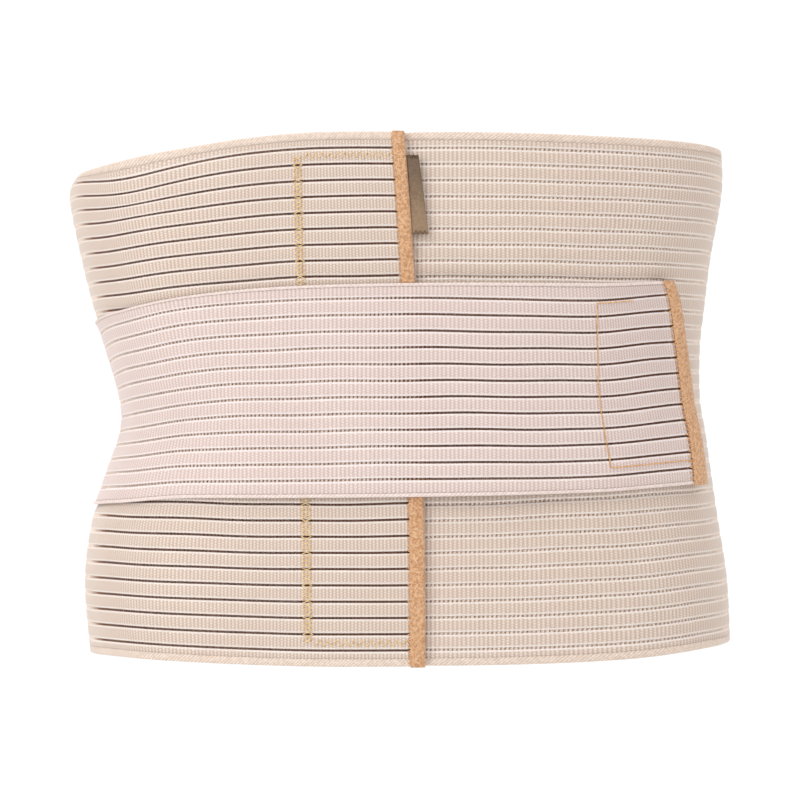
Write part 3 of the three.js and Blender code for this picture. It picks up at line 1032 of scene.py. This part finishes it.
# Centre-back seam
# The belt is stitched through at the centre back, where the band starts. A bar of cloth closes each gap
# there, and a zigzag runs down the seam on both faces.
seam_x = float(np.interp(band["start"][0], belt["turns"], belt["runs"]))
seam_width = 0.0036
bm = bmesh.new()
bmesh.ops.create_cube(bm, size=1)
bar_size = np.array([seam_width, strip_gap + 0.0004, 0.76 * cloth_thickness])
bar_middle = np.array([seam_x, 0, 0.5 * cloth_thickness])
bar = flat_mesh(bm, lambda vertices: vertices * bar_size + bar_middle)
seam = lay_copies("back_seam_bars", belt, bar, gap_moves(belt), belt_selvedge)
seam_thread = thread_material("seam_thread", colour(240, 222, 206), colour(206, 180, 158))
seam_ends = (seam_x, -0.0020), (seam_x, 0.0020 - belt_height)
for name, outwards, depth in (("back_seam_stitches", 1, cloth_top), ("back_seam_inner_stitches", -1, 0)):
    legs = zigzag(*seam_ends, half_width=0.0012, pitch=0.0012, depths=(depth, depth))
    piece = sewn(name, belt, legs, 0.00018, seam_thread, tape_unit, outwards)

# Side label
# A short loop of satin ribbon is caught in the flap's binding, below the top edge, and stands out past its
# fold. It is bare, with a small tack at each end.
label_drop = 0.0102
label_length = 0.0345
label_reach = 0.007

# Outline of the loop, clockwise from its outer leaf's hidden end: millimetres past the fold, and out from
# the middle of the cloth
label_outline = np.array([
    [-0.5, 0.45], [1.0, 0.52], [3.0, 0.60], [5.0, 0.62], [6.4, 0.55], [6.9, 0.30], [7.0, 0.00], [6.9, -0.30],
    [6.4, -0.55], [5.0, -0.55], [3.0, -0.50], [1.0, -0.45], [-0.5, -0.40], [-0.5, -0.15], [3.0, -0.18],
    [6.1, -0.12], [6.1, 0.12], [3.0, 0.20], [-0.5, 0.15],
])


def satin_loop():
    """Flat loop of ribbon. It leans out more towards its bottom, and its free fold waves a little."""
    lengths = 60
    past, outwards = label_outline.T / 1000

    def shape(vertices):
        corner = corner_of(vertices, len(label_outline))
        share = np.rint(vertices[:, 2]) / lengths
        up = -label_drop - share * label_length
        lean = 0.82 + 0.22 * share
        freedom = np.clip(past[corner] / label_reach, 0, 1)
        waving = 0.0006 * (1 + np.sin(share * 5.2 + 0.6)) * freedom
        out = cloth_thickness / 2 + outwards[corner] + waving
        return np.stack([belt["length"] + past[corner] * lean, up, out], axis=1)

    return flat_mesh(tube(len(label_outline), lengths), shape)


# Satin: fine picks across the ribbon, with a painted highlight towards its bottom and a darker tone towards
# its top
satin, given, out = new_group(
    "satin", {"Light": "colour", "Dark": "colour"}, {"Color": "colour", "Height": "value"}
)
up = cloth_place(satin)[1]
picks = 28
pick = sum_up(satin, "SINE", sum_up(satin, "MULTIPLY", up, math.tau * picks))
lint = lint_on(satin, 900)
tone = sum_up(satin, "MULTIPLY_ADD", pick, 0.12, sum_up(satin, "MULTIPLY", lint["Fuzz"], 0.8))
# Painted highlight: the ribbon is lightened towards its bottom and darkened towards its top
tone = sum_up(satin, "ADD", tone, spread(satin, up, -6.0, -2.0, -0.30, 0.35))
satin.links.new(mixed(satin, tone, given["Light"], given["Dark"]), out["Color"])
satin.links.new(sum_up(satin, "MULTIPLY_ADD", pick, 0.4, lint["Fuzz"]), out["Height"])

label_satin = cloth_material(
    "label_satin",
    satin,
    {"Light": colour(151, 125, 98), "Dark": colour(82, 63, 47)},
    roughness=0.32,
    sheen=0.0,
    bump=0.25,
)
label = lay_copies("side_label_loop", belt, satin_loop(), still, label_satin, tape_unit)
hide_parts("side_label")
brown_thread = thread_material("brown_thread", colour(104, 78, 60), colour(58, 42, 32))
label_top = cloth_thickness / 2 + 0.0016
tack_margin = 0.0006
top_drop = label_drop + tack_margin
bottom_drop = label_drop + label_length - tack_margin
tack_legs = []
for drop, reach in ((top_drop, 0.0052), (bottom_drop, 0.0066)):
    ends = (belt["length"] + tack_margin, -drop), (belt["length"] + reach, -drop)
    tack_legs += zigzag(*ends, half_width=0.0008, pitch=0.0010, depths=(label_top, label_top))
piece = sewn("label_tacks", belt, tack_legs, 0.00020, brown_thread, tape_unit)

# Studio
# The binder is held up above a wide pale floor whose rim turns up all round, so that it is the backdrop as
# well. Two soft lamps and a white sky light it evenly.
floor_height = -0.75
floor_radius = 2.2
rim_radius = 1.3
bm = bmesh.new()
bend = 14
profile = [bm.verts.new((0, 0, floor_height)), bm.verts.new((floor_radius, 0, floor_height))]
for k in range(1, bend + 1):
    angle = math.radians(90 * k / bend)
    reach = floor_radius + rim_radius * math.sin(angle)
    profile.append(bm.verts.new((reach, 0, floor_height + rim_radius * (1 - math.cos(angle)))))
profile.append(bm.verts.new((floor_radius + rim_radius, 0, floor_height + 3.0)))
lines = [bm.edges.new(pair) for pair in zip(profile, profile[1:])]
full_turn = {"cent": (0, 0, 0), "axis": (0, 0, 1), "angle": math.tau, "steps": 96, "use_merge": True}
bmesh.ops.spin(bm, geom=profile + lines, **full_turn)
bmesh.ops.remove_doubles(bm, verts=bm.verts[:], dist=1e-5)
bmesh.ops.recalc_face_normals(bm, faces=bm.faces[:])
for face in bm.faces:
    face.smooth = True
studio_mesh = bpy.data.meshes.new("studio_floor")
bm.to_mesh(studio_mesh)
bm.free()
pale = bpy.data.materials.new("pale_floor")
pale.use_nodes = True
grain = add_node(pale.node_tree, "ShaderNodeTexNoise", {"Scale": 3, "Detail": 2})
grain_range = spread(pale.node_tree, grain.outputs["Fac"], 0.3, 0.7)
floor_tone = mixed(pale.node_tree, grain_range, (0.95, 0.95, 0.95, 1), (0.96, 0.96, 0.96, 1))
pale.node_tree.links.new(floor_tone, pale.node_tree.nodes["Principled BSDF"].inputs["Base Color"])
pale.node_tree.nodes["Principled BSDF"].inputs["Roughness"].default_value = 0.95
studio_mesh.materials.append(pale)
studio = bpy.data.objects.new("studio_floor", studio_mesh)
bpy.context.scene.collection.objects.link(studio)

world = bpy.data.worlds.new("studio")
bpy.context.scene.world = world
world.use_nodes = True
world.node_tree.nodes["Background"].inputs["Color"].default_value = (1, 1, 1, 1)
world.node_tree.nodes["Background"].inputs["Strength"].default_value = 1.0


def softbox(name, place, aim, size, power):
    """Square lamp that faces a point."""
    lamp = bpy.data.lights.new(name, "AREA")
    lamp.size = size
    lamp.energy = power
    holder = bpy.data.objects.new(name, lamp)
    holder.location = place
    holder.rotation_euler = (Vector(aim) - Vector(place)).to_track_quat("-Z", "Y").to_euler()
    bpy.context.scene.collection.objects.link(holder)


softbox("key", (-1.5, -1.9, 1.3), (0, 0, 0), 1.2, 22)
softbox("overhead", (0, -0.1, 1.9), (0, 0, 0), 1.6, 10)

camera = bpy.data.cameras.new("camera")
camera.lens = 125.9
camera.sensor_width = 36
camera_object = bpy.data.objects.new("camera", camera)
camera_object.location = (0, -1.300, 0)
camera_object.rotation_euler = (math.radians(90), 0, 0)
bpy.context.scene.collection.objects.link(camera_object)
bpy.context.scene.camera = camera_object
bpy.context.scene.view_settings.view_transform = "Standard"
